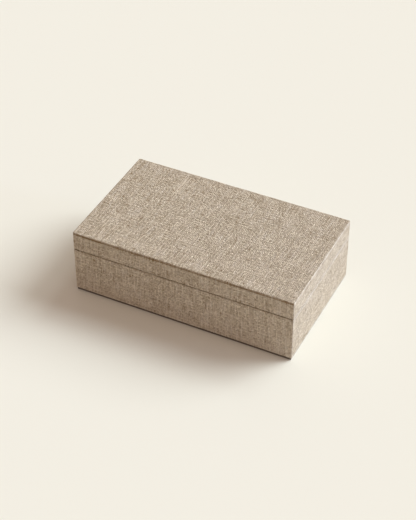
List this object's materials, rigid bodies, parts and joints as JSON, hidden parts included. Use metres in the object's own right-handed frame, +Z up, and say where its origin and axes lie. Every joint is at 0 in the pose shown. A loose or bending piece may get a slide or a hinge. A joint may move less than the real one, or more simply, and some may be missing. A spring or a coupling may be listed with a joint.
{
  "type": "storage box",
  "caption": "Rectangular linen-wrapped storage box with a raised inner lining and a hinged lid that stops just past upright.",
  "frame": {"origin": "middle of the flat underside, on the surface that the box stands on", "axes": "+X along the length to the box's right-hand end as seen from the front, +Y to the back where the hinges are, +Z up"},
  "size_m": [0.3, 0.1775, 0.0925],
  "materials": {
    "oatmeal_linen": "coarse undyed linen, matte, with slubs",
    "fibreboard": "raw medium-density fibreboard",
    "lining_cloth": "fine plain cotton, matte",
    "pad_cloth": "fine plain cotton over wadding, matte",
    "underside_felt": "pressed felt",
    "brass": "satin",
    "screw_brass": "satin"
  },
  "bodies": {
    "base": {"base_front_board": "fibreboard", "base_back_board": "fibreboard", "base_left_board": "fibreboard", "base_right_board": "fibreboard", "base_floor_board": "fibreboard", "base_linen_wrap": "oatmeal_linen", "underside_felt": "underside_felt", "lining_front": "lining_cloth", "lining_back": "lining_cloth", "lining_left": "lining_cloth", "lining_right": "lining_cloth", "floor_pad": "pad_cloth", "left_hinge_base_leaf": "brass", "left_hinge_pin": "brass", "right_hinge_base_leaf": "brass", "right_hinge_pin": "brass", "left_hinge_base_screw_outer": "screw_brass", "left_hinge_base_screw_inner": "screw_brass", "right_hinge_base_screw_outer": "screw_brass", "right_hinge_base_screw_inner": "screw_brass"},
    "lid": {"lid_front_board": "fibreboard", "lid_back_board": "fibreboard", "lid_left_board": "fibreboard", "lid_right_board": "fibreboard", "lid_top_board": "fibreboard", "lid_linen_wrap": "oatmeal_linen", "lid_pad": "pad_cloth", "left_hinge_lid_leaf": "brass", "right_hinge_lid_leaf": "brass", "left_hinge_lid_screw_outer": "screw_brass", "left_hinge_lid_screw_inner": "screw_brass", "right_hinge_lid_screw_outer": "screw_brass", "right_hinge_lid_screw_inner": "screw_brass"}
  },
  "joints": [
    {"name": "lid_hinge", "type": "hinge", "parent": "base", "child": "lid", "pos_m": [0, 0.088, 0.066], "axis": [-1, 0, 0], "range_deg": [0, 95]}
  ]
}
